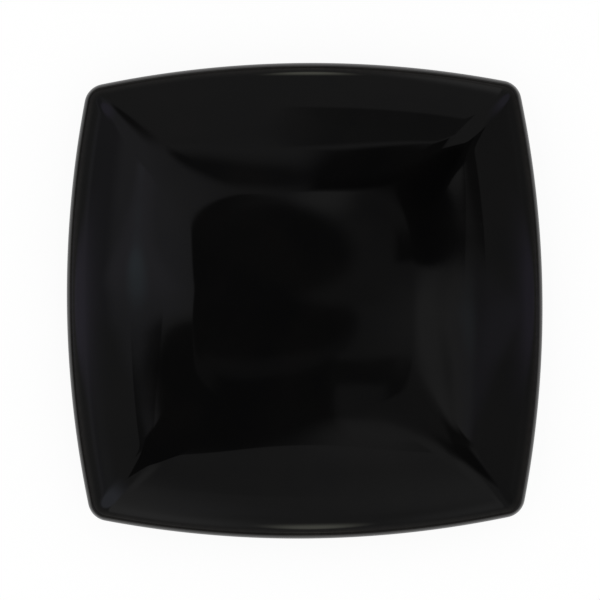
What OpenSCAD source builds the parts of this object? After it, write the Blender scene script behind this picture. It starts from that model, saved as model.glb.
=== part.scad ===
// Square dinner plate with bowed sides, a soft valley up each corner, a lip bevelled on its
// outer side and a foot ring. Millimetres, +Z up, origin on the table under the middle of the plate.
//
// The plate is drawn as levels. A level is [half width, height, corner radius]: one closed
// outline of four bowed sides and four round corners. Moving a level outward by some length
// adds that length to its half width, its bow radius and its corner radius alike.

/* [Plan] */
// Width across the middles of two opposite sides
plate_w = 270; // [250:1:290]
// Radius of the bow of each side, at the rim
bow_r = 590; // [480:10:900]
// Corner radius of the rim
rim_corner_r = 12; // [9:1:16]
// Tightest corner radius of the valley that runs up each corner
valley_r = 6; // [4:1:12]
// Width of the well
well_w = 124; // [112:1:134]
// Corner radius of the well
well_corner_r = 30; // [22:1:38]

/* [Section] */
// Height from the table to the top of the lip
plate_h = 27; // [23:0.5:32]
// Thickness of the clay under the middle of the well
clay_t = 3.9; // [3.4:0.1:5]
// Depth of the well's shallow dish, from its edge to its middle
well_sag = 1.5; // [0.5:0.1:2]
// Thickness of every coat of glaze
glaze_t = 0.35; // [0.2:0.05:0.5]
// Radius over the top of the lip, and round its outermost edge
lip_r = 1.4; // [1.2:0.1:1.8]
// Width of the bevel down the outer side of the lip, seen from above
bevel_w = 1.5; // [1:0.1:2]
// Fall of that bevel from level
bevel_angle = 57; // [48:1:62]
// Angle at which the slope comes up into the lip
lip_angle = 40; // [32:1:46]
// Angle at which the underside comes out to the lip
under_angle = 26; // [22:1:32]
// Length of the easy curve where the face leaves the well
face_well_ease = 25; // [16:1:30]
// Length of the easy curve where the face turns up to the lip
face_lip_ease = 14; // [8:1:18]
// Length of the easy curve where the underside leaves the foot
back_foot_ease = 10; // [8:1:16]
// Length of the easy curve where the underside comes out to the lip
back_lip_ease = 24; // [16:1:28]

/* [Foot] */
// Width over the foot ring
foot_w = 134; // [126:1:142]
// Corner radius of the foot ring's outer side
foot_corner_r = 28; // [20:1:34]
// Width of the foot ring's standing edge
foot_t = 5; // [3.5:0.5:7]
// Height of the foot ring
foot_h = 3; // [2.4:0.1:4.2]
// Height of the bare band above the standing edge, where the glaze is wiped off
bare_h = 1.1; // [0.7:0.1:1.5]

/* [Smoothness] */
// Facets along one side of every level
side_steps = 12; // [8:2:20]
// Facets round one corner of every level
corner_steps = 7; // [5:1:10]
// Levels from the middle of the well to its edge
well_steps = 5; // [3:1:8]
// Levels up each slope
slope_steps = 14; // [10:1:20]
// Largest turn from one level to the next round the lip
lip_turn = 22; // [15:1:30]

/* [Hidden] */

// Half width of the plate, and how far outside its middle each side's bow is centred
half_w = plate_w / 2;
bow_offset = bow_r - half_w;

// Facets in one whole outline
outline_steps = 4 * (side_steps + corner_steps);

// Heights of the glazed face at the middle of the well and at its edge, and its rise there
middle_z = foot_h + clay_t + glaze_t;
well_z = middle_z + well_sag;
well_x = well_w / 2;
well_rise = 2 * well_sag / well_x;

// Centres of the lip's two rounds: over its top, and round its outermost edge
crest = [half_w - lip_r - bevel_w, plate_h - lip_r];
edge = crest + bevel_w * [1, -tan(bevel_angle)];

// Overrun of every cut
cut_over = 1;

// Corner radius of a level that lies parallel to the rim
function rim_parallel_r(x) = rim_corner_r - (half_w - x);

// A level moved square to the section's direction of travel, in degrees from level:
// by d to the left of that direction, and out or in over the plan as it goes
function shifted(level, angle, d) =
    [level[0] - d * sin(angle), level[1] + d * cos(angle), level[2] - d * sin(angle)];

// Point, and direction in degrees, at share u of a cubic curve of levels
function curve_point(p, u) =
    pow(1 - u, 3) * p[0] + 3 * u * pow(1 - u, 2) * p[1]
    + 3 * pow(u, 2) * (1 - u) * p[2] + pow(u, 3) * p[3];
function curve_angle(p, u) =
    let (v = pow(1 - u, 2) * (p[1] - p[0]) + 2 * u * (1 - u) * (p[2] - p[1])
        + pow(u, 2) * (p[3] - p[2]))
    atan2(v[1], v[0]);

// Levels up a cubic curve, short of its end, each moved to the left of the curve by d
function curve_levels(p, d) =
    [for (k = [0 : slope_steps - 1])
        let (u = k / slope_steps)
        shifted(curve_point(p, u), curve_angle(p, u), d)];

// A level at an angle round one of the lip's centres, d outside the lip's surface
function lip_level(centre, angle, d) =
    let (x = centre[0] + (lip_r + d) * cos(angle))
    [x, centre[1] + (lip_r + d) * sin(angle), rim_parallel_r(x)];

// Levels from one angle round such a centre to another, short of the last
function round_levels(centre, first, last, d) =
    let (steps = ceil(abs(last - first) / lip_turn))
    [for (k = [0 : steps - 1]) lip_level(centre, first + (last - first) * k / steps, d)];

// Levels over the lip, from its inner side over its top, down its bevel and round its edge
function lip_levels(d) = concat(
    round_levels(crest, 90 + lip_angle, 90, d),
    round_levels(crest, 90, 90 - bevel_angle, d),
    [lip_level(crest, 90 - bevel_angle, d)],
    round_levels(edge, 90 - bevel_angle, 0, d),
    round_levels(edge, 0, under_angle - 90, d),
    [lip_level(edge, under_angle - 90, d)]
);

// Levels up the shallow dish of the well, short of its edge, each raised by d
function well_levels(d) =
    [for (k = [1 : well_steps - 1])
        let (u = k / well_steps)
        [u * well_x, middle_z + pow(u, 2) * well_sag + d, u * well_corner_r]];

// The glazed face, from the edge of the well up to the lip's inner side
face_end = lip_level(crest, 90 + lip_angle, 0);
face_curve = [
    [well_x, well_z, well_corner_r],
    [well_x + face_well_ease, well_z + well_rise * face_well_ease, (well_corner_r + valley_r) / 2],
    [face_end[0] - face_lip_ease * cos(lip_angle), face_end[1] - face_lip_ease * sin(lip_angle),
        valley_r],
    face_end
];

// The glazed underside, from the foot ring out to the lip's lower side
foot_x = foot_w / 2;
back_end = lip_level(edge, under_angle - 90, 0);
back_curve = [
    [foot_x + glaze_t, foot_h - glaze_t, foot_corner_r + glaze_t],
    [foot_x + glaze_t + back_foot_ease, foot_h - glaze_t, (foot_corner_r + rim_corner_r) / 2],
    [back_end[0] - back_lip_ease * cos(under_angle), back_end[1] - back_lip_ease * sin(under_angle),
        rim_corner_r],
    back_end
];

// The same stretches on the glaze and, one coat deeper, on the clay
face_levels = concat(well_levels(0), curve_levels(face_curve, 0));
clay_face_levels = concat(well_levels(-glaze_t), curve_levels(face_curve, -glaze_t));
back_levels = curve_levels(back_curve, 0);
clay_back_levels = curve_levels(back_curve, glaze_t);
clay_back_end = lip_level(edge, under_angle - 90, -glaze_t);

// Levels of the foot ring's two sides, and of the glaze on them
foot_outer = [foot_x, 0, foot_corner_r];
foot_inner = [foot_x - foot_t, 0, foot_corner_r - foot_t];
recess_inner = [foot_inner[0] - glaze_t, 0, foot_inner[2] - glaze_t];

// A list back to front
function reversed(list) = [for (k = [len(list) - 1 : -1 : 0]) list[k]];

// The closed plan outline of one level, counter-clockwise
function outline(level) =
    let (
        side_r = bow_offset + level[0],
        corner_r = level[2],
        centre = (sqrt(2 * pow(side_r - corner_r, 2) - pow(bow_offset, 2)) - bow_offset) / 2,
        sweep = atan2(centre, centre + bow_offset)
    )
    [for (quarter = [0 : 3])
        each [for (p = concat(
            [for (k = [0 : side_steps])
                let (t = sweep * (2 * k / side_steps - 1))
                [side_r * cos(t) - bow_offset, side_r * sin(t)]],
            [for (k = [1 : corner_steps - 1])
                let (t = sweep + (90 - 2 * sweep) * k / corner_steps)
                [centre + corner_r * cos(t), centre + corner_r * sin(t)]]
        )) quarter_turned(p, quarter)]];

// A plan point turned about the middle of the plate by whole quarters
function quarter_turned(p, quarter) =
    quarter == 0 ? p : quarter_turned([-p[1], p[0]], quarter - 1);

// The points of a list of levels, one outline after another
function level_points(levels) =
    [for (level = levels) each [for (p = outline(level)) [p[0], p[1], level[1]]]];

// Triangles between the outlines of levels a and b. The cut across each facet starts on the
// narrower outline, so that two skins over the same levels have the same triangles.
function band_faces(levels, a, b) =
    let (widens = levels[b][0] >= levels[a][0])
    [for (k = [0 : outline_steps - 1])
        let (
            next = (k + 1) % outline_steps,
            a0 = a * outline_steps + k,
            a1 = a * outline_steps + next,
            b0 = b * outline_steps + k,
            b1 = b * outline_steps + next
        )
        each widens ? [[a0, a1, b1], [a0, b1, b0]] : [[a0, a1, b0], [a1, b1, b0]]];

// A solid whose skin runs over the levels in order and is closed flat at both ends.
// The first level is the upper end.
module capped_shell(levels) {
    last = len(levels) - 1;
    polyhedron(
        points = level_points(levels),
        faces = concat(
            [[for (k = [outline_steps - 1 : -1 : 0]) k]],
            [for (n = [0 : last - 1]) each band_faces(levels, n, n + 1)],
            [[for (k = [0 : outline_steps - 1]) last * outline_steps + k]]
        ),
        convexity = 6
    );
}

// A ring-shaped solid whose skin runs over the levels in order and back to the first
module ring_shell(levels) {
    count = len(levels);
    polyhedron(
        points = level_points(levels),
        faces = [for (n = [0 : count - 1]) each band_faces(levels, n, (n + 1) % count)],
        convexity = 6
    );
}

// A straight wall or slab that fills a level's outline
module prism(level, height) {
    linear_extrude(height = height) polygon(outline(level));
}

// The pressed clay, from the middle of the well over the lip to the flat underside
module clay_body() {
    color([0.62, 0.57, 0.5])
        capped_shell(concat(clay_face_levels, lip_levels(-glaze_t), reversed(clay_back_levels)));
}

// The ring that the plate stands on, of bare clay at its standing edge
module foot_ring() {
    color([0.7, 0.65, 0.57])
        difference() {
            prism(foot_outer, foot_h);
            translate([0, 0, -cut_over]) prism(foot_inner, foot_h + 2 * cut_over);
        }
}

// The coat over the well, the slopes and the whole of the lip
module face_glaze() {
    color([0.03, 0.03, 0.035])
        capped_shell(concat(
            face_levels, lip_levels(0), reversed(lip_levels(-glaze_t)), reversed(clay_face_levels)
        ));
}

// The coat under the slopes, from below the lip down the outer side of the foot ring
module back_glaze() {
    glaze_foot = [
        [foot_x, bare_h, foot_corner_r],
        [foot_x + glaze_t, bare_h, foot_corner_r + glaze_t]
    ];
    root = [foot_x, foot_h, foot_corner_r];
    color([0.045, 0.045, 0.05])
        ring_shell(concat(
            [back_end], reversed(back_levels), reversed(glaze_foot), [root],
            clay_back_levels, [clay_back_end]
        ));
}

// The coat on the underside inside the foot ring, down the ring's inner side
module recess_glaze() {
    color([0.04, 0.04, 0.045])
        translate([0, 0, bare_h])
            difference() {
                prism(foot_inner, foot_h - bare_h);
                translate([0, 0, -cut_over])
                    prism(recess_inner, foot_h - bare_h - glaze_t + cut_over);
            }
}

clay_body();
foot_ring();
face_glaze();
back_glaze();
recess_glaze();
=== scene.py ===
"""Square dinner plate: pressed stoneware, its foot ring and its coats of glossy black glaze.

Every piece is lofted from its section. A section is a list of levels, and a level is the
bowed square that the plate's surface follows at one height: [half width, corner radius, height].
"""
import sys
import logging
import math
from dataclasses import dataclass
from enum import Enum
from typing import Mapping, NamedTuple, Optional, Union

import bpy
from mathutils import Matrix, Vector


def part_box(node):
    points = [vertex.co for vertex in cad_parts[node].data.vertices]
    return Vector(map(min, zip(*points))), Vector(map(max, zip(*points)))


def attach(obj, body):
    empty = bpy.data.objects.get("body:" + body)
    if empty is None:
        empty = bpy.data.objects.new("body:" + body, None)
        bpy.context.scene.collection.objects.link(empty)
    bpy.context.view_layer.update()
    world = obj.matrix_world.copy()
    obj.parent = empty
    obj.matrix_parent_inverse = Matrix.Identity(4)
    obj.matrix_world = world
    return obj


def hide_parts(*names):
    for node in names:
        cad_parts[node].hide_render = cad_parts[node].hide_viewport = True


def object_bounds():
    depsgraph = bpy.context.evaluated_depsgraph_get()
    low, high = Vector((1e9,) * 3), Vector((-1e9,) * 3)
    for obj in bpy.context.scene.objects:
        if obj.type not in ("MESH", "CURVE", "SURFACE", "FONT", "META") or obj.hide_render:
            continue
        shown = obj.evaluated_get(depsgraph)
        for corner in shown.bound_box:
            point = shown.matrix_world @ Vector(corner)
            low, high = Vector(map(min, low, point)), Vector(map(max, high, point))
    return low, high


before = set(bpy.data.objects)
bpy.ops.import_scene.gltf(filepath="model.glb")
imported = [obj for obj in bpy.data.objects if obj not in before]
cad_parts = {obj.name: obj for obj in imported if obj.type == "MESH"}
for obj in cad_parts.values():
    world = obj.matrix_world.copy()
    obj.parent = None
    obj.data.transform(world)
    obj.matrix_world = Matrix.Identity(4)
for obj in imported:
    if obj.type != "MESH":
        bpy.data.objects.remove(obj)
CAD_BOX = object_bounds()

LOG = logging.getLogger("dinner_plate")
MM = 0.001
QUARTER_TURN = math.pi / 2
HOLD = 0.05
"""How near to a sharp edge a further level holds it, as a share of the step beside it."""

Socket = bpy.types.NodeSocket
Node = bpy.types.Node
Pair = tuple[float, float]
Colour = tuple[float, float, float]
Number = Union[float, "Field"]
Curve = tuple[Vector, Vector, Vector, Vector]
Settings = Optional[Mapping[str, object]]
Inputs = Optional[Mapping[Union[str, int], object]]


def rgba(light: Union[float, Colour]) -> tuple[float, float, float, float]:
    """A colour with its alpha, from a colour or from the level of a grey."""
    return (*light, 1.0) if isinstance(light, tuple) else (light, light, light, 1.0)


def new_object(name: str, data: bpy.types.ID) -> bpy.types.Object:
    """Adds an object to the scene."""
    item = bpy.data.objects.new(name, data)
    bpy.context.scene.collection.objects.link(item)
    return item


class Field:
    """A number inside a node tree, which arithmetic turns into Math nodes."""

    def __init__(self, wiring: "Wiring", socket: Socket) -> None:
        """Holds the output that carries the number."""
        self.wiring = wiring
        self.socket = socket

    def math(self, operation: str, *others: Number) -> "Field":
        """Puts the number through one Math node.

        Args:
            operation: the node's operation.
            others: its further inputs, plain or from the same tree.

        Returns:
            The node's result.
        """
        inputs = dict(enumerate((self, *others)))
        return self.wiring.number("ShaderNodeMath", {"operation": operation}, inputs)

    def __add__(self, other: Number) -> "Field":
        """The sum."""
        return self.math("ADD", other)

    def __sub__(self, other: Number) -> "Field":
        """The difference."""
        return self.math("SUBTRACT", other)

    def __rsub__(self, other: float) -> "Field":
        """A plain number less this one."""
        return self.math("MULTIPLY_ADD", -1.0, other)

    def __mul__(self, other: Number) -> "Field":
        """The product."""
        return self.math("MULTIPLY", other)

    def __truediv__(self, other: Number) -> "Field":
        """The quotient."""
        return self.math("DIVIDE", other)

    def root(self) -> "Field":
        """The square root, or 0 below zero."""
        return self.math("MAXIMUM", 0.0).math("SQRT")

    def ramp(self, start: float, end: float) -> "Field":
        """A soft step.

        Args:
            start: where the step starts to rise from 0.
            end: where it reaches 1, above or below start.

        Returns:
            A number from 0 to 1 along an S curve.
        """
        inputs = {"Value": self, "From Min": min(start, end), "From Max": max(start, end),
                  "To Min": float(start > end), "To Max": float(start < end)}
        return self.wiring.number(
            "ShaderNodeMapRange", {"interpolation_type": "SMOOTHSTEP"}, inputs)


class Wiring:
    """Adds nodes to one tree and feeds their inputs."""

    MIX_ENDS = (6, 7)
    MIX_RESULT = 2
    """A Mix node's colour sockets, by number because all its kinds have the same names."""

    def __init__(self, tree: bpy.types.NodeTree) -> None:
        """Works on a tree."""
        self.tree = tree

    @classmethod
    def of(cls, owner: Union[bpy.types.Material, bpy.types.World]) -> "Wiring":
        """Starts the node tree of a material or a world afresh."""
        owner.use_nodes = True
        owner.node_tree.nodes.clear()
        return cls(owner.node_tree)

    def feed(self, slot: Socket, value: object) -> None:
        """Gives an input a plain value, a Field's number, an output or a node's first output."""
        if isinstance(value, Field):
            value = value.socket
        elif isinstance(value, Node):
            value = value.outputs[0]
        if isinstance(value, Socket):
            self.tree.links.new(value, slot)
        else:
            slot.default_value = value

    def node(self, kind: str, settings: Settings = None, inputs: Inputs = None) -> Node:
        """Adds a node.

        Args:
            kind: the node's type.
            settings: its own options, by name.
            inputs: what its inputs get, by name or number.

        Returns:
            The node.
        """
        node = self.tree.nodes.new(kind)
        for name, value in (settings or {}).items():
            setattr(node, name, value)
        for key, value in (inputs or {}).items():
            self.feed(node.inputs[key], value)
        return node

    def number(self, kind: str, settings: Settings = None, inputs: Inputs = None,
               output: Union[str, int] = 0) -> Field:
        """Adds a node and takes one of its outputs as a number.

        Args:
            kind: the node's type.
            settings: its own options, by name.
            inputs: what its inputs get, by name or number.
            output: the output that is taken.

        Returns:
            That output's number.
        """
        return Field(self, self.node(kind, settings, inputs).outputs[output])

    def parts(self, vector: Socket) -> list[Field]:
        """The three numbers of a vector."""
        node = self.node("ShaderNodeSeparateXYZ", inputs={0: vector})
        return [Field(self, output) for output in node.outputs]

    def noise(self, place: Socket, size: Number, detail: float = 2.0,
              shift: Number = 0.0) -> Field:
        """Soft noise.

        Args:
            place: the coordinates that it is laid out on.
            size: the width of its swells.
            detail: how many finer octaves it has.
            shift: a further coordinate, which sets unlike patterns apart.

        Returns:
            A number from -1 to 1, mostly near 0.
        """
        scale = size.math("POWER", -1.0) if isinstance(size, Field) else 1 / size
        inputs = {"Vector": place, "W": shift, "Scale": scale, "Detail": detail}
        fac = self.number("ShaderNodeTexNoise", {"noise_dimensions": "4D"}, inputs)
        return (fac - 0.5) * 2.0

    def blend(self, share: Number, first: object, second: object) -> Socket:
        """Mixes two colours.

        Args:
            share: how much of the second shows, from 0 to 1.
            first: the colour or the level of grey at 0.
            second: the same at 1.

        Returns:
            The mixed colour.
        """
        inputs = {key: end if isinstance(end, Socket) else rgba(end)
                  for key, end in zip(self.MIX_ENDS, (first, second))}
        node = self.node("ShaderNodeMix", {"data_type": "RGBA"}, {"Factor": share, **inputs})
        return node.outputs[self.MIX_RESULT]

    def bump(self, height: Field, depth: float, under: Optional[Socket] = None) -> Socket:
        """Raises the shading of a surface.

        Args:
            height: the relief, from 0 to 1.
            depth: how far 1 stands above 0.
            under: a coarser relief that this one lies on.

        Returns:
            The normal.
        """
        inputs = {"Height": height, "Distance": depth}
        if under is not None:
            inputs["Normal"] = under
        return self.node("ShaderNodeBump", inputs=inputs).outputs["Normal"]


class Station(NamedTuple):
    """One level of a section, with what the surface does there."""

    level: Vector
    """Half width, corner radius and height."""
    ripple: float = 0.0
    """Share of the glaze's ripple that it takes."""
    thin: float = 0.0
    """How thin the glaze lies, from 0 in the open to 1 on an edge."""
    waver: float = 0.0
    """Share of the glaze line's waver that it takes."""
    dish: float = 0.0
    """How far the level rises towards its corners, as on a round dish."""


def along(angle: float, length: float = 1.0) -> Vector:
    """A step in the plane of the section, at an angle up from level."""
    return Vector((math.cos(angle), 0, math.sin(angle))) * length


def curve_step(curve: Curve, share: float) -> tuple[Vector, Vector]:
    """The level at a share of a cubic curve, and the curve's direction there."""
    first, second, third = (a.lerp(b, share) for a, b in zip(curve, curve[1:]))
    before, after = first.lerp(second, share), second.lerp(third, share)
    return before.lerp(after, share), after - before


def sunk(level: Vector, travel: Vector, depth: float) -> Vector:
    """Moves a level square to its section, and its corner radius with its width.

    Args:
        level: the level.
        travel: the section's direction there.
        depth: how far it goes to the right of that direction.

    Returns:
        The moved level.
    """
    outward, upward = depth * travel.z, depth * travel.x
    length = math.hypot(travel.x, travel.z)
    return level + Vector((outward, outward, -upward)) / length


@dataclass(frozen=True)
class PlateForm:
    """The plate's plan and section, in the sizes of its solids."""

    half_width: float
    height: float
    foot_half: float
    foot_inner_half: float
    foot_height: float
    bare_height: float
    bow_radius: float = 590 * MM
    rim_corner: float = 12 * MM
    valley_corner: float = 6 * MM
    well_half: float = 62 * MM
    well_corner: float = 30 * MM
    well_sag: float = 1.5 * MM
    dish_start: float = 58 * MM
    dish_end: float = 102 * MM
    clay: float = 3.9 * MM
    glaze: float = 0.35 * MM
    lip_radius: float = 1.4 * MM
    bevel_width: float = 1.5 * MM
    bevel_angle: float = math.radians(57)
    roll_start: float = math.radians(35.5)
    roll_end: float = math.radians(65)
    lip_angle: float = math.radians(40)
    under_angle: float = math.radians(26)
    face_well_ease: float = 25 * MM
    face_lip_ease: float = 14 * MM
    back_foot_ease: float = 10 * MM
    back_lip_ease: float = 24 * MM
    foot_corner: float = 28 * MM

    @classmethod
    def from_solids(cls) -> "PlateForm":
        """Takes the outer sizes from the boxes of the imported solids.

        Returns:
            The plate's form.
        """
        _, foot_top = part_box("foot_ring")
        line, recess_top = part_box("recess_glaze")
        return cls(
            half_width=CAD_BOX[1][0],
            height=CAD_BOX[1][2],
            foot_half=foot_top.x,
            foot_inner_half=recess_top.x,
            foot_height=foot_top.z,
            bare_height=line.z,
        )

    @property
    def bow_offset(self) -> float:
        """How far outside the plate's middle the bow of each side is centred."""
        return self.bow_radius - self.half_width

    @property
    def crest(self) -> Vector:
        """The centre of the round over the lip's top."""
        inset = self.lip_radius + self.bevel_width
        return Vector((self.half_width - inset, 0, self.height - self.lip_radius))

    @property
    def edge(self) -> Vector:
        """The centre of the round of the lip's outermost edge, a bevel away from the other."""
        return self.crest + Vector((1, 0, -math.tan(self.bevel_angle))) * self.bevel_width

    def foot_level(self, half: float, height: float) -> Vector:
        """A level by the foot ring, whose corners all turn round the same centres."""
        return Vector((half, self.foot_corner - self.foot_half + half, height))

    def lip_level(self, centre: Vector, angle: float, depth: float = 0.0) -> Vector:
        """A level on one of the lip's two rounds.

        Args:
            centre: the round's centre.
            angle: 0 outward and a quarter turn upward.
            depth: how far under the glaze's surface it lies.

        Returns:
            The level.
        """
        level = centre + along(angle, self.lip_radius - depth)
        level.y = self.rim_corner - (self.half_width - level.x)
        return level

    def dish(self, half: float) -> float:
        """How far the face is a round dish, from 1 in the well to 0 up the slopes."""
        share = min(1.0, max(0.0, (self.dish_end - half) / (self.dish_end - self.dish_start)))
        return share * share * (3 - 2 * share)

    def well(self, depth: float, steps: int) -> list[Vector]:
        """Levels of the dished well, from its middle to just inside its edge.

        Args:
            depth: how far under the glaze's surface they lie.
            steps: how many there are.

        Returns:
            The levels.
        """
        middle = self.foot_height + self.clay + self.glaze - depth
        levels = []
        for share in (k / steps for k in range(steps)):
            corner = self.well_half - share ** 2 * (self.well_half - self.well_corner)
            levels.append(Vector((share * self.well_half, share * corner,
                                  middle + share ** 2 * self.well_sag)))
        return levels

    def slope(self, depth: float, steps: int) -> list[Vector]:
        """Levels up the face, from the edge of the well to the inner side of the lip.

        Args:
            depth: how far under the glaze's surface they lie.
            steps: how many stretches lie between them.

        Returns:
            The levels.
        """
        start = Vector((self.well_half, self.well_corner,
                        self.foot_height + self.clay + self.glaze + self.well_sag))
        end = self.lip_level(self.crest, QUARTER_TURN + self.lip_angle)
        rise = 2 * self.well_sag / self.well_half
        after = start + Vector((self.face_well_ease, 0, rise * self.face_well_ease))
        after.y = (self.well_corner + self.valley_corner) / 2
        before = end - along(self.lip_angle, self.face_lip_ease)
        before.y = self.valley_corner
        return self._sunk_curve((start, after, before, end), depth, steps)

    def lip(self, depth: float, steps: int) -> list[Vector]:
        """Levels over the lip, from just past its inner side, down its bevel to below its edge.

        Args:
            depth: how far under the glaze's surface they lie.
            steps: how many there are round its top, and as many again round its edge.

        Returns:
            The levels.
        """
        first, last = QUARTER_TURN + self.lip_angle, self.under_angle - QUARTER_TURN
        start, end = QUARTER_TURN - self.roll_start, QUARTER_TURN - self.roll_end
        shares = [k / steps for k in range(steps + 1)]
        over = [self.lip_level(self.crest, first + (start - first) * s, depth) for s in shares]
        down = [self.lip_level(self.edge, end + (last - end) * s, depth) for s in shares]
        reach = (down[0] - over[-1]).length / 3
        roll = (over[-1], over[-1] - along(start + QUARTER_TURN, reach),
                down[0] + along(end + QUARTER_TURN, reach), down[0])
        return over[1:] + [curve_step(roll, s)[0] for s in shares[1:-1]] + down

    def back(self, depth: float, steps: int) -> list[Vector]:
        """Levels up the underside, from the foot ring out to below the lip's edge.

        Args:
            depth: how far under the glaze's surface they lie.
            steps: how many stretches lie between them.

        Returns:
            The levels.
        """
        start = self.foot_level(self.foot_half + self.glaze, self.foot_height - self.glaze)
        end = self.lip_level(self.edge, self.under_angle - QUARTER_TURN)
        after = start + Vector((self.back_foot_ease, 0, 0))
        after.y = (self.foot_corner + self.rim_corner) / 2
        before = end - along(self.under_angle, self.back_lip_ease)
        before.y = self.rim_corner
        return self._sunk_curve((start, after, before, end), -depth, steps)

    @staticmethod
    def _sunk_curve(curve: Curve, depth: float, steps: int) -> list[Vector]:
        """Levels along a curve, each moved to the right of it by a depth."""
        return [sunk(*curve_step(curve, k / steps), depth) for k in range(steps + 1)]


class LevelLoft:
    """Geometry Nodes tree that spreads a section's levels round the plate as bowed squares."""

    INPUTS = {
        "Section": "Object", "Columns": "Int", "Material": "Material", "Seed": "Float",
        "Bow Offset": "Float", "Dish Curve": "Float", "Ripple Depth": "Float",
        "Ripple Size": "Float", "Waver Depth": "Float", "Waver Size": "Float",
    }
    TRAITS = ("ripple", "thin", "waver", "dish")
    CROWDING = 0.9
    """How strongly the columns crowd towards the plate's corners, from 0 to 1."""
    CREASE = math.radians(35)
    """Edges that turn by more than this stay sharp."""
    WELD = 0.001 * MM
    """Points that are closer than this become one."""
    SLACK = 0.0001
    """Share of a side that keeps a column on a corner out of the side before it."""

    def __init__(self) -> None:
        """Builds the tree, which then serves every piece."""
        tree = bpy.data.node_groups.new("level_loft", "GeometryNodeTree")
        self.sockets = {
            name: tree.interface.new_socket(name, in_out="INPUT", socket_type="NodeSocket" + kind)
            for name, kind in self.INPUTS.items()}
        tree.interface.new_socket("Shell", in_out="OUTPUT", socket_type="NodeSocketGeometry")
        self.wiring = Wiring(tree)
        self.given = self.wiring.node("NodeGroupInput").outputs
        shell = self._finished(self._rippled(self._placed()))
        self.wiring.node("NodeGroupOutput", inputs={"Shell": shell})

    def _input(self, name: str) -> Field:
        """One of the tree's sizes."""
        return Field(self.wiring, self.given[name])

    def _placed(self) -> Node:
        """Lays a grid over the levels and the columns, and closes it into a shell.

        Returns:
            The shell, with the section's traits on its points.
        """
        wiring = self.wiring
        section = wiring.node("GeometryNodeObjectInfo", inputs={"Object": self.given["Section"]})
        levels = section.outputs["Geometry"]
        count = wiring.number("GeometryNodeAttributeDomainSize", inputs={"Geometry": levels},
                              output="Point Count")
        columns = self._input("Columns") * 4.0
        mesh = wiring.node("GeometryNodeMeshGrid", inputs={
            "Size X": 1.0, "Size Y": 1.0, "Vertices X": count, "Vertices Y": columns + 1.0})
        place = wiring.node("GeometryNodeInputPosition").outputs[0]
        across, along_side, _ = wiring.parts(place)
        row = ((across + 0.5) * (count - 1.0)).math("ROUND")
        column = ((along_side + 0.5) * columns).math("ROUND")

        half, corner, height = wiring.parts(self._sampled(levels, row, place, "FLOAT_VECTOR"))
        x, y = self._outline(half, corner, column)
        dish = Field(wiring, self._sampled(levels, row, self._stored("dish"), "FLOAT"))
        height = height + (x * x + y * y - half * half) * dish * self._input("Dish Curve")
        for trait in self.TRAITS[:-1]:
            value = self._sampled(levels, row, self._stored(trait), "FLOAT")
            mesh = wiring.node("GeometryNodeStoreNamedAttribute", {"data_type": "FLOAT"}, {
                "Geometry": mesh, "Name": trait, "Value": value})
        point = wiring.node("ShaderNodeCombineXYZ", inputs={"X": x, "Y": y, "Z": height})
        mesh = wiring.node("GeometryNodeSetPosition", inputs={"Geometry": mesh, "Position": point})
        return wiring.node("GeometryNodeMergeByDistance", inputs={
            "Geometry": mesh, "Distance": self.WELD})

    def _sampled(self, levels: Socket, row: Field, value: object, kind: str) -> Socket:
        """Reads a value of the section at the row that a point belongs to."""
        return self.wiring.node("GeometryNodeSampleIndex", {"data_type": kind}, {
            "Geometry": levels, "Value": value, "Index": row}).outputs["Value"]

    def _stored(self, trait: str) -> Field:
        """A trait that is stored on points."""
        return self.wiring.number("GeometryNodeInputNamedAttribute", {"data_type": "FLOAT"},
                                  {"Name": trait}, "Attribute")

    def _outline(self, half: Field, corner: Field, column: Field) -> tuple[Field, Field]:
        """Finds where a column crosses a level's outline.

        Args:
            half: the level's half width.
            corner: its corner radius.
            column: the number of the column, counted round from one of the plate's corners.

        Returns:
            The point's x and y.
        """
        per_side = self._input("Columns")
        side = (column / per_side + self.SLACK).math("FLOOR")
        share = (column / per_side - side) * 2.0 - 1.0
        crowded = (share * QUARTER_TURN).math("SINE") * self.CROWDING + share * (1 - self.CROWDING)
        angle = crowded * (QUARTER_TURN / 2)
        sine, cosine = angle.math("SINE").math("ABSOLUTE"), angle.math("COSINE")

        offset = self._input("Bow Offset")
        bow = offset + half
        reach = bow - corner
        centre = ((reach * reach * 2.0 - offset * offset).root() - offset) * 0.5
        on_side = (bow * bow - offset * offset * sine * sine).root() - offset * cosine
        across = centre * (cosine - sine)
        on_corner = centre * (cosine + sine) + (corner * corner - across * across).root()
        turning = centre * bow / (centre * bow + corner * offset)
        past = (sine / cosine).math("GREATER_THAN", turning)
        radius = on_side + (on_corner - on_side) * past

        turned = angle + side * QUARTER_TURN
        return radius * turned.math("COSINE"), radius * turned.math("SINE")

    def _rippled(self, shell: Node) -> Node:
        """Lets the glaze ripple and its lower line waver.

        Args:
            shell: the exact shell.

        Returns:
            The shell as it comes from the kiln.
        """
        wiring = self.wiring
        place = wiring.node("GeometryNodeInputPosition").outputs[0]
        ripple = wiring.noise(place, self._input("Ripple Size"), 1.0, self._input("Seed"))
        waver = wiring.noise(place, self._input("Waver Size"), 1.0, self._input("Seed"))
        push = wiring.node("ShaderNodeVectorMath", {"operation": "SCALE"}, {
            "Vector": wiring.node("GeometryNodeInputNormal"),
            "Scale": ripple * self._stored("ripple") * self._input("Ripple Depth")})
        drift = wiring.node("ShaderNodeCombineXYZ", inputs={
            "Z": waver * self._stored("waver") * self._input("Waver Depth")})
        offset = wiring.node("ShaderNodeVectorMath", inputs={0: push, 1: drift})
        return wiring.node("GeometryNodeSetPosition", inputs={"Geometry": shell, "Offset": offset})

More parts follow.
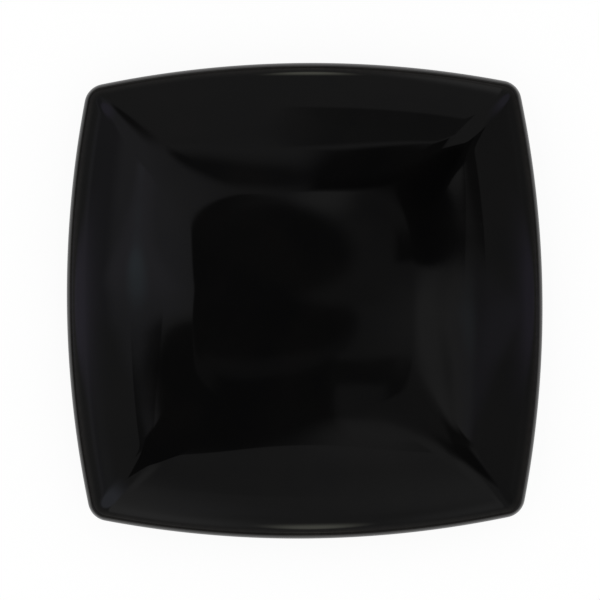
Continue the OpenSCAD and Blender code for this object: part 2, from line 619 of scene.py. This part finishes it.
    def _finished(self, shell: Node) -> Node:
        """Shades the shell smooth but for its creases, and gives it its material.

        Args:
            shell: the placed shell.

        Returns:
            The finished shell.
        """
        wiring = self.wiring
        shell = wiring.node("GeometryNodeSetShadeSmooth", {"domain": "FACE"}, {"Geometry": shell})
        turn = wiring.number("GeometryNodeInputMeshEdgeAngle", output="Unsigned Angle")
        shell = wiring.node("GeometryNodeSetShadeSmooth", {"domain": "EDGE"}, {
            "Geometry": shell, "Selection": turn.math("GREATER_THAN", self.CREASE),
            "Shade Smooth": False})
        for trait in ("ripple", "waver"):
            shell = wiring.node("GeometryNodeRemoveAttribute", inputs={
                "Geometry": shell, "Name": trait})
        shell = wiring.node("GeometryNodeRealizeInstances", inputs={"Geometry": shell})
        return wiring.node("GeometryNodeSetMaterial", inputs={
            "Geometry": shell, "Material": self.given["Material"]})

    def shell(self, name: str, stations: list[Station],
              inputs: Mapping[str, object]) -> bpy.types.Object:
        """Lofts one closed shell.

        Args:
            name: the piece's name.
            stations: its section, outward over its upper side and back under it.
            inputs: the tree's other inputs, by name.

        Returns:
            The piece, as a plain mesh at the origin.
        """
        section = self._section(stations)
        piece = new_object(name, bpy.data.meshes.new(name))
        modifier = piece.modifiers.new("level_loft", "NODES")
        modifier.node_group = self.wiring.tree
        for key, value in {"Section": section, **inputs}.items():
            modifier[self.sockets[key].identifier] = value
        graph = bpy.context.evaluated_depsgraph_get()
        mesh = bpy.data.meshes.new_from_object(piece.evaluated_get(graph))
        mesh.name = name
        piece.modifiers.remove(modifier)
        piece.data = mesh
        bpy.data.objects.remove(section)
        return piece

    @classmethod
    def _section(cls, stations: list[Station]) -> bpy.types.Object:
        """Holds a section's levels and traits on points that the tree can read."""
        mesh = bpy.data.meshes.new("section")
        mesh.from_pydata([s.level for s in stations], [], [])
        for trait in cls.TRAITS:
            attribute = mesh.attributes.new(trait, "FLOAT", "POINT")
            attribute.data.foreach_set("value", [getattr(s, trait) for s in stations])
        return new_object("section", mesh)


class Finish:
    """A finish of one surface, which is built as a node material."""

    name: str

    def wire(self, wiring: Wiring, place: Socket) -> Mapping[str, object]:
        """Adds the finish's nodes.

        Args:
            wiring: the material's tree.
            place: Object coordinates.

        Returns:
            What the shader's inputs get, by name.
        """
        raise NotImplementedError

    def build(self) -> bpy.types.Material:
        """Builds the material.

        Returns:
            The material.
        """
        material = bpy.data.materials.new(self.name)
        wiring = Wiring.of(material)
        place = wiring.node("ShaderNodeTexCoord").outputs["Object"]
        shader = wiring.node("ShaderNodeBsdfPrincipled", inputs=self.wire(wiring, place))
        wiring.node("ShaderNodeOutputMaterial", inputs={"Surface": shader})
        return material


@dataclass(frozen=True)
class BlackGlaze(Finish):
    """Glossy black glaze, deep in the open and a little browner where it runs thin on an edge."""

    name: str
    colour: Colour = (0.0011, 0.0011, 0.0012)
    cloud_colour: Colour = (0.0017, 0.0016, 0.0016)
    cloud_size: float = 34 * MM
    cloud_span: Pair = (-0.3, 0.4)
    thin_colour: Colour = (0.009, 0.0082, 0.0074)
    thin_share: float = 0.7
    thin_swing: float = 0.5
    thin_grain: float = 3 * MM
    refraction: float = 1.5
    roughness: float = 0.03
    roughness_swing: float = 0.015
    peel_size: float = 2.2 * MM
    peel_depth: float = 0.0005 * MM
    pinhole_spacing: float = 24 * MM
    pinhole_radius: float = 0.45 * MM
    pinhole_depth: float = 0.06 * MM
    pinhole_floor: float = 0.3
    pinhole_share: float = 0.35

    def wire(self, wiring: Wiring, place: Socket) -> Mapping[str, object]:
        """Adds the glaze's clouds, thin edges, orange peel and pinholes.

        Args:
            wiring: the material's tree.
            place: Object coordinates.

        Returns:
            What the shader's inputs get, by name.
        """
        drift = wiring.noise(place, self.cloud_size)
        grain = wiring.noise(place, self.thin_grain, detail=3.0, shift=5.0)
        thin = wiring.number("ShaderNodeAttribute", {"attribute_name": "thin"}, output="Fac")
        deep = wiring.blend(drift.ramp(*self.cloud_span), self.colour, self.cloud_colour)
        worn = (thin * (grain * self.thin_swing + self.thin_share)).math("MINIMUM", 1.0)
        roughness = drift * self.roughness_swing + self.roughness

        cells = wiring.node("ShaderNodeTexVoronoi", inputs={
            "Vector": place, "Scale": 1 / self.pinhole_spacing})
        chosen = Field(wiring, wiring.node("ShaderNodeSeparateColor", inputs={
            "Color": cells.outputs["Color"]}).outputs["Red"]).math("LESS_THAN", self.pinhole_share)
        radius = self.pinhole_radius / self.pinhole_spacing
        distance = Field(wiring, cells.outputs["Distance"])
        pit = distance.ramp(radius, radius * self.pinhole_floor) * chosen
        peel = wiring.noise(place, self.peel_size, detail=1.0, shift=9.0) * 0.5 + 0.5
        return {
            "Base Color": wiring.blend(worn, deep, self.thin_colour),
            "Roughness": roughness,
            "IOR": self.refraction,
            "Normal": wiring.bump(
                1.0 - pit, self.pinhole_depth, wiring.bump(peel, self.peel_depth)),
        }


@dataclass(frozen=True)
class BareClay(Finish):
    """Unglazed stoneware: buff and sandy, with iron specks and a toasted line by the glaze."""

    name: str
    glaze_line: float
    colour: Colour = (0.5, 0.43, 0.33)
    shade: Colour = (0.4, 0.32, 0.235)
    cloud_size: float = 8 * MM
    cloud_span: Pair = (-0.25, 0.35)
    toasted: Colour = (0.23, 0.135, 0.08)
    toasted_band: float = 0.5 * MM
    roughness: float = 0.86
    roughness_swing: float = 0.08
    grain_size: float = 0.45 * MM
    grain_depth: float = 0.06 * MM
    speck: Colour = (0.1, 0.07, 0.05)
    speck_spacing: float = 1.7 * MM
    speck_span: Pair = (0.17, 0.1)

    def wire(self, wiring: Wiring, place: Socket) -> Mapping[str, object]:
        """Adds the clay's clouds, specks, toasted line and sandy grain.

        Args:
            wiring: the material's tree.
            place: Object coordinates.

        Returns:
            What the shader's inputs get, by name.
        """
        cloud = wiring.noise(place, self.cloud_size, detail=4.0)
        grain = wiring.noise(place, self.grain_size, detail=3.0, shift=3.0)
        cells = wiring.number("ShaderNodeTexVoronoi", inputs={
            "Vector": place, "Scale": 1 / self.speck_spacing}, output="Distance")
        height = wiring.parts(place)[2] + cloud * (self.toasted_band / 2)
        near = height.ramp(self.glaze_line - self.toasted_band, self.glaze_line)
        tone = wiring.blend(cloud.ramp(*self.cloud_span), self.colour, self.shade)
        toasted = wiring.blend(near, tone, self.toasted)
        return {
            "Base Color": wiring.blend(cells.ramp(*self.speck_span), toasted, self.speck),
            "Roughness": grain * self.roughness_swing + self.roughness,
            "Normal": wiring.bump(grain * 0.5 + 0.5, self.grain_depth),
        }


@dataclass
class PlatePiece:
    """One piece of the plate, lofted from its section and dressed in its finish."""

    form: PlateForm
    columns: int = 96
    ripple_depth: float = 0.02 * MM
    ripple_size: float = 50 * MM
    waver_depth: float = 0.3 * MM
    waver_size: float = 9 * MM
    seed: float = 0.0

    name = ""
    node = ""
    slot = ""

    def stations(self) -> list[Station]:
        """The piece's section, outward over its upper side and back under it."""
        raise NotImplementedError

    def finish(self) -> Finish:
        """The piece's finish."""
        raise NotImplementedError

    def build(self, loft: LevelLoft) -> bpy.types.Object:
        """Makes the piece and puts it in the place of its solid.

        Args:
            loft: the tree that makes it.

        Returns:
            The piece.
        """
        piece = loft.shell(self.name, self.stations(), {
            "Bow Offset": self.form.bow_offset,
            "Dish Curve": self.form.well_sag / self.form.well_half ** 2,
            "Columns": self.columns,
            "Ripple Depth": self.ripple_depth,
            "Ripple Size": self.ripple_size,
            "Waver Depth": self.waver_depth,
            "Waver Size": self.waver_size,
            "Seed": self.seed,
            "Material": self.finish().build(),
        })
        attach(piece, "root")
        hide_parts(self.node)
        return piece


@dataclass
class FaceCoat(PlatePiece):
    """The coat over the well, the slopes and the whole of the lip."""

    well_steps: int = 24
    slope_steps: int = 60
    lip_steps: int = 18
    hidden_steps: int = 6
    hidden_slope_steps: int = 24
    calm_band: float = 0.3
    """Share of the slope over which the ripple dies down towards the lip."""
    thin_band: float = 0.06
    """Share of the slope over which the glaze runs thin towards the lip."""

    name = "black_face_glaze"
    node = "face_glaze"
    slot = "face_glaze"

    def stations(self) -> list[Station]:
        """The coat's section, from the middle of the well to the lip and back underneath."""
        form = self.form
        face = [Station(level, ripple=1.0, dish=1.0) for level in form.well(0, self.well_steps)]
        for k, level in enumerate(form.slope(0, self.slope_steps)):
            left = 1 - k / self.slope_steps
            face.append(Station(level, ripple=min(1.0, left / self.calm_band),
                                thin=max(0.0, 1 - left / self.thin_band),
                                dish=form.dish(level.x)))
        lip = form.lip(0, self.lip_steps)
        lip.insert(-1, lip[-1].lerp(lip[-2], HOLD))
        under = form.well(form.glaze, self.hidden_steps)
        under += form.slope(form.glaze, self.hidden_slope_steps)
        under += form.lip(form.glaze, self.hidden_steps)
        face += [Station(level, thin=1.0) for level in lip]
        return face + [Station(level, thin=1.0, dish=form.dish(level.x)) for level in under[::-1]]

    def finish(self) -> Finish:
        """Black glaze, as it shows from above."""
        return BlackGlaze("black_glaze_face")


@dataclass
class FootCoat(PlatePiece):
    """A coat that runs down one side of the foot ring and ends in a bead there."""

    fillet: float = 0.9 * MM
    fillet_steps: int = 8
    bead_steps: int = 5
    pinhole_share: float = 0.55
    pinhole_spacing: float = 18 * MM

    finish_name = ""

    def finish(self) -> Finish:
        """Black glaze, with more pinholes than on the face."""
        return BlackGlaze(self.finish_name, pinhole_share=self.pinhole_share,
                          pinhole_spacing=self.pinhole_spacing)

    def root(self, half: float, height: float, first: float) -> list[Vector]:
        """Levels round the fillet at the foot ring's root.

        Args:
            half: half width of the plate at the centre of the fillet's quarter circle.
            height: that centre's height.
            first: the angle at which the quarter circle starts.

        Returns:
            The levels.
        """
        steps = [along(first + QUARTER_TURN * k / self.fillet_steps, self.fillet)
                 for k in range(self.fillet_steps + 1)]
        return [self.form.foot_level(half + step.x, height + step.z) for step in steps]

    def bead(self, half: float, side: float) -> list[Station]:
        """The coat's rounded lower edge.

        Args:
            half: half width of the foot ring's side.
            side: 1 for its outer side, -1 for its inner one.

        Returns:
            Stations from the coat's skin round to the clay.
        """
        form = self.form
        turns = [QUARTER_TURN * k / self.bead_steps for k in range(self.bead_steps + 1)]
        return [Station(form.foot_level(half + side * form.glaze * math.cos(turn),
                                        form.bare_height + form.glaze * (1 - math.sin(turn))),
                        thin=1.0, waver=1.0) for turn in turns]


@dataclass
class BackCoat(FootCoat):
    """The coat under the slopes, from below the lip down the outer side of the foot ring."""

    steps: int = 56
    hidden_steps: int = 16
    calm_band: Pair = (0.48, 0.64)
    """Shares of the plate's height between which the ripple dies down."""

    name = "black_back_glaze"
    node = "back_glaze"
    slot = "back_glaze"
    finish_name = "black_glaze_back"

    def stations(self) -> list[Station]:
        """The coat's section, from the foot ring's root up inside it and back down its skin."""
        form = self.form
        root = Station(form.foot_level(form.foot_half, form.foot_height))
        skin = form.back(0, self.steps)[::-1]
        skin.insert(1, skin[0].lerp(skin[1], HOLD))
        inner = skin[-1] + Vector((self.fillet, 0, 0))
        skin = [level for level in skin if level.x > inner.x]
        skin += self.root(inner.x, inner.z - self.fillet, QUARTER_TURN)
        low, high = (share * form.height for share in self.calm_band)
        stations = [root] + [Station(level) for level in form.back(form.glaze, self.hidden_steps)]
        stations += [Station(level, ripple=max(0.0, min(1.0, (high - level.z) / (high - low))))
                     for level in skin]
        return stations + self.bead(form.foot_half, 1.0) + [root]


@dataclass
class RecessCoat(FootCoat):
    """The coat on the underside inside the foot ring, and down the ring's inner side."""

    pinhole_spacing: float = 16 * MM
    ceiling_steps: int = 20
    calm_band: float = 0.25
    """Share of the ceiling over which the ripple dies down towards the ring."""

    name = "black_recess_glaze"
    node = "recess_glaze"
    slot = "recess_glaze"
    finish_name = "black_glaze_recess"

    def stations(self) -> list[Station]:
        """The coat's section, out over its hidden side, down the ring and in along its ceiling."""
        form, half = self.form, self.form.foot_inner_half
        sunk_by = form.glaze + self.fillet
        path = [Vector((0, 0, form.foot_height)), form.foot_level(half, form.foot_height)]
        stations = [Station(level) for level in path] + self.bead(half, -1.0)[::-1]
        round_up = self.root(half - sunk_by, form.foot_height - sunk_by, 0.0)
        stations += [Station(level) for level in round_up]
        edge = round_up[-1]
        for k in range(1, self.ceiling_steps + 1):
            inward = k / self.ceiling_steps
            level = Vector((edge.x * (1 - inward), edge.y * (1 - inward), edge.z))
            stations.append(Station(level, ripple=min(1.0, inward / self.calm_band)))
        return stations


@dataclass
class PressedClay(PlatePiece):
    """The pressed clay that the coats lie on."""

    hidden_steps: int = 24

    name = "pressed_clay"
    node = "clay_body"
    slot = "stoneware"

    def stations(self) -> list[Station]:
        """The clay's section, over its face and its lip and back along its flat underside."""
        form, steps = self.form, self.hidden_steps
        face = form.well(form.glaze, steps // 4) + form.slope(form.glaze, steps)
        back = form.lip(form.glaze, steps // 4) + form.back(form.glaze, steps)[-2::-1]
        back.append(Vector((0, 0, back[-1].z)))
        return [Station(level, dish=form.dish(level.x)) for level in face] + [
            Station(level) for level in back]

    def finish(self) -> Finish:
        """Bare clay."""
        return BareClay("pressed_stoneware", self.form.height)


@dataclass
class FootRing(PlatePiece):
    """The ring that the plate stands on, sanded round at its bare standing edge."""

    sanding: float = 0.7 * MM
    sanding_steps: int = 6

    name = "bare_foot_ring"
    node = "foot_ring"
    slot = "bare_foot"

    def stations(self) -> list[Station]:
        """The ring's section, out over its top, down, in along its standing edge and up."""
        form = self.form
        outer, inner = form.foot_half, form.foot_inner_half
        path = [Vector((inner, 0, form.foot_height)), Vector((outer, 0, form.foot_height))]
        for half, first in ((outer - self.sanding, 0), (inner + self.sanding, -QUARTER_TURN)):
            centre = Vector((half, 0, self.sanding))
            path += [centre + along(first - QUARTER_TURN * k / self.sanding_steps, self.sanding)
                     for k in range(self.sanding_steps + 1)]
        path.append(path[0])
        return [Station(form.foot_level(level.x, level.z)) for level in path]

    def finish(self) -> Finish:
        """Bare clay, toasted where the glaze ends."""
        return BareClay("bare_foot_clay", self.form.bare_height)


class Ray(Enum):
    """Kinds of ray that the floor and the room tell apart."""

    CAMERA = "Is Camera Ray"
    GLOSSY = "Is Glossy Ray"
    TRANSMISSION = "Is Transmission Ray"


class Outline(Enum):
    """Outlines of a patch of light or dark overhead."""

    ROUND = "round"
    SQUARE = "square"


ROUND, SQUARE = Outline


class SkyPatch(NamedTuple):
    """A soft patch of light or dark overhead, which the glaze mirrors."""

    centre: Pair
    """Where it is: how far over +X and +Y, for each unit of height."""
    half_size: Pair
    """Its half width and half depth, in the same measure."""
    light: Union[float, Colour]
    """What it sends out, as a level of grey or as a colour, where 1 is white."""
    softness: float
    """Share of its size over which its edge fades."""
    outline: Outline = ROUND
    turn: float = 0.0
    """How far it is turned, in degrees counter-clockwise."""


ROOM = tuple(SkyPatch(*row) for row in (
    # Walls and their far corners
    ((0.7, 0.0), (0.62, 1.0), (0.24, 0.24, 0.26), 0.25),
    ((0.85, 0.0), (0.26, 1.0), (0.165, 0.165, 0.18), 0.3),
    ((0.5, 0.3), (0.5, 0.2945), 0.155, 0.015, SQUARE),
    ((-0.85, 0.0), (0.42, 1.0), 0.125, 0.2),
    ((0.6, 0.62), (0.55, 0.34), (0.42, 0.44, 0.51), 0.35, ROUND, -45),
    ((0.62, -0.42), (0.3, 0.16), (0.32, 0.3, 0.4), 0.5, ROUND, 40),
    ((-0.85, -0.62), (0.45, 0.3), (0.28, 0.27, 0.35), 0.4, ROUND, 35),
    ((-0.14, 0.62), (0.12, 0.42), 0.25, 0.4),
    ((0.13, 0.7), (0.09, 0.42), 0.28, 0.4),
    ((0.2, 1.45), (0.13, 0.6), 0.4, 0.6),
    ((-0.2, 1.35), (0.1, 0.5), 0.3, 0.6),
    ((-0.25, -2.0), (0.12, 0.7), 0.38, 0.6),
    # Streaks that the valleys mirror
    ((0.19, -0.5), (0.11, 0.24), 0.06, 0.6, ROUND, 13),
    ((-0.25, 0.165), (0.24, 0.11), 0.03, 0.5, ROUND, -28),
    ((-0.22, 0.052), (0.19, 0.035), 0.04, 0.6, ROUND, 12),
    # Dark boards overhead
    ((-0.047, -0.44), (0.05, 0.13), 0.09, 0.12, SQUARE),
    ((-0.06, 0.015), (0.055, 0.085), 0.1, 0.35, SQUARE),
    ((-0.02, -0.14), (0.06, 0.1), 0.12, 0.4, SQUARE),
    ((-0.14, 0.012), (0.08, 0.028), 0.24, 0.6),
    ((-0.3, 0.006), (0.1, 0.01), 0.25, 0.6),
    ((0.335, 0.0375), (0.085, 0.0332), 0.06, 0.06, SQUARE),
    ((0.1585, 0.1335), (0.1715, 0.123), 0.03, 0.012, SQUARE),
    ((0.14, 0.134), (0.145, 0.1245), 0.03, 0.014, SQUARE),
    ((-0.04, 0.27), (0.04, 0.155), 0.21, 0.4),
    ((0.025, -0.15), (0.035, 0.055), 0.06, 0.55),
    ((-0.194, -0.0872), (0.146, 0.075), 0.02, 0.02, SQUARE, -3),
    ((-0.4, -0.0815), (0.07, 0.075), 0.04, 0.015, SQUARE),
    ((-0.036, -0.18), (0.034, 0.105), 0.027, 0.15, SQUARE),
    ((-0.13, -0.09), (0.1, 0.06), 0.002, 0.6),
    # Round shades, one rimmed, with a bar beside them
    ((-0.008, -0.054), (0.014, 0.009), 0.22, 0.7),
    ((0.03, 0.012), (0.055, 0.027), 0.062, 0.06),
    ((0.03, 0.01), (0.052, 0.0195), 0.031, 0.12),
    ((0.03, -0.024), (0.053, 0.0275), 0.036, 0.14),
    ((-0.018, -0.003), (0.018, 0.0045), 0.09, 0.6),
    ((-0.028, 0.0365), (0.019, 0.0065), 0.042, 0.3, SQUARE),
    # Cool lights at two sides and warm lamps at the other two
    ((0.42, -0.0065), (0.2, 0.005), (0.31, 0.305, 0.345), 0.6),
    ((0.385, -0.003), (0.05, 0.0018), (0.46, 0.57, 0.65), 0.8),
    ((-0.62, 0.006), (0.28, 0.008), (0.19, 0.185, 0.22), 0.6),
    ((-0.35, 0.002), (0.04, 0.002), (0.26, 0.29, 0.32), 0.8),
    ((-2.8, 0.0), (1.6, 1.7), 0.14, 0.15, SQUARE),
    ((1.8, 0.0), (0.85, 0.065), (0.38, 0.355, 0.46), 0.5),
    ((-1.7, 0.0), (0.75, 0.06), (0.26, 0.24, 0.32), 0.5),
    ((-0.004, 1.75), (0.042, 0.3), (1.15, 1.16, 1.0), 0.7),
    ((-0.005, -1.9), (0.04, 0.25), (1.2, 1.21, 1.02), 0.7),
))


@dataclass(frozen=True)
class Studio:
    """The pale floor, the soft room and the camera."""

    form: PlateForm
    patches: tuple[SkyPatch, ...]
    camera_height: float = 1.5
    picture_width: float = 339.7 * MM
    camera_shift: Pair = (-2.66 * MM, 0.45 * MM)
    camera_turn: float = math.radians(-0.5)
    sensor: float = 36.0
    floor_side: float = 12.0
    floor_drop: float = 0.3 * MM
    floor_shade: float = 0.1
    daylight: float = 0.95
    sky: tuple[Pair, ...] = (
        (0.0, 0.95), (0.15, 0.95), (0.25, 0.23), (0.5, 0.18), (0.75, 0.18), (1.0, 0.17))
    """The bare room's lights, each after how far up it is, from level at 0 to overhead at 1."""
    lowest: float = 0.02
    """How far up the lowest direction is that the patches tell from level."""

    def build(self) -> None:
        """Builds the camera, the floor and the room."""
        bpy.context.scene.view_settings.view_transform = "Standard"
        self._camera()
        self._floor()
        self._room()

    def _camera(self) -> None:
        """Looks straight down on the plate."""
        data = bpy.data.cameras.new("camera")
        data.sensor_width = self.sensor
        data.lens = self.sensor * (self.camera_height - self.form.height) / self.picture_width
        camera = new_object("camera", data)
        camera.location = (*self.camera_shift, self.camera_height)
        camera.rotation_euler = (0, 0, self.camera_turn)
        bpy.context.scene.camera = camera

    @staticmethod
    def _rays(wiring: Wiring, *kinds: Ray) -> Field:
        """1 for a ray of the given kinds and 0 for any other."""
        path = wiring.node("ShaderNodeLightPath")
        found = Field(wiring, path.outputs[kinds[0].value])
        for kind in kinds[1:]:
            found = found.math("MAXIMUM", Field(wiring, path.outputs[kind.value]))
        return found

    def _floor(self) -> None:
        """Lays a pale floor that shows white and keeps the plate's faint shadow."""
        side = self.floor_side / 2
        corners = [(-side, -side), (side, -side), (side, side), (-side, side)]
        mesh = bpy.data.meshes.new("floor")
        mesh.from_pydata([(x, y, -self.floor_drop) for x, y in corners], [], [(0, 1, 2, 3)])
        new_object("floor", mesh)

        material = bpy.data.materials.new("pale_floor")
        wiring = Wiring.of(material)
        chalk = wiring.node("ShaderNodeBsdfDiffuse", inputs={"Color": rgba(self.floor_shade)})
        glow = wiring.node("ShaderNodeEmission", inputs={
            "Strength": 1 - self.floor_shade * self.daylight})
        top = wiring.node("ShaderNodeAddShader", inputs={0: chalk, 1: glow})
        behind = wiring.number("ShaderNodeNewGeometry", output="Backfacing")
        seen = self._rays(wiring, Ray.CAMERA, Ray.GLOSSY, Ray.TRANSMISSION) * (1.0 - behind)
        clear = wiring.node("ShaderNodeBsdfTransparent")
        both = wiring.node("ShaderNodeMixShader", inputs={0: seen, 1: clear, 2: top})
        wiring.node("ShaderNodeOutputMaterial", inputs={"Surface": both})
        mesh.materials.append(material)

    def _room(self) -> None:
        """Fills the room with even daylight, and with what the glaze mirrors."""
        world = bpy.data.worlds.new("room")
        bpy.context.scene.world = world
        wiring = Wiring.of(world)
        east, north, up = wiring.parts(wiring.node("ShaderNodeTexCoord").outputs["Generated"])
        up = up.math("ABSOLUTE")
        level = up.math("MAXIMUM", self.lowest)
        east, north = east / level, north / level
        ramp = wiring.node("ShaderNodeValToRGB", inputs={"Fac": up})
        stops = ramp.color_ramp.elements
        for place, _ in self.sky[1:-1]:
            stops.new(place)
        for stop, (_, light) in zip(stops, self.sky):
            stop.color = rgba(light)
        mirrored = ramp.outputs["Color"]
        for patch in self.patches:
            mirrored = wiring.blend(self._cover(patch, east, north), mirrored, patch.light)
        lit = wiring.blend(self._rays(wiring, Ray.GLOSSY), self.daylight, mirrored)
        shown = wiring.blend(self._rays(wiring, Ray.CAMERA), lit, 1.0)
        light = wiring.node("ShaderNodeBackground", inputs={"Color": shown})
        wiring.node("ShaderNodeOutputWorld", inputs={"Surface": light})

    @staticmethod
    def _cover(patch: SkyPatch, east: Field, north: Field) -> Field:
        """How far a patch covers a direction.

        Args:
            patch: the patch.
            east: the direction's reach over +X for each unit of height.
            north: its reach over +Y.

        Returns:
            1 inside the patch and 0 outside it.
        """
        turn = math.radians(patch.turn)
        cosine, sine = math.cos(turn), math.sin(turn)
        x, y = east - patch.centre[0], north - patch.centre[1]
        wide = (x * cosine + y * sine) / patch.half_size[0]
        deep = (y * cosine - x * sine) / patch.half_size[1]
        if patch.outline is ROUND:
            reach = (wide * wide + deep * deep).root()
        else:
            reach = wide.math("ABSOLUTE").math("MAXIMUM", deep.math("ABSOLUTE"))
        return reach.ramp(1 + patch.softness, 1 - patch.softness)


def main() -> None:
    """Builds the plate and its studio."""
    logging.basicConfig(level=logging.INFO, format="%(name)s: %(message)s", stream=sys.stdout)
    form = PlateForm.from_solids()
    loft = LevelLoft()
    for piece in (PressedClay(form), FootRing(form), FaceCoat(form), BackCoat(form, seed=4.0),
                  RecessCoat(form, seed=8.0)):
        made = piece.build(loft)
        LOG.info("%s: %d faces", made.name, len(made.data.polygons))
    Studio(form, ROOM).build()


if __name__ == "__main__":
    main()
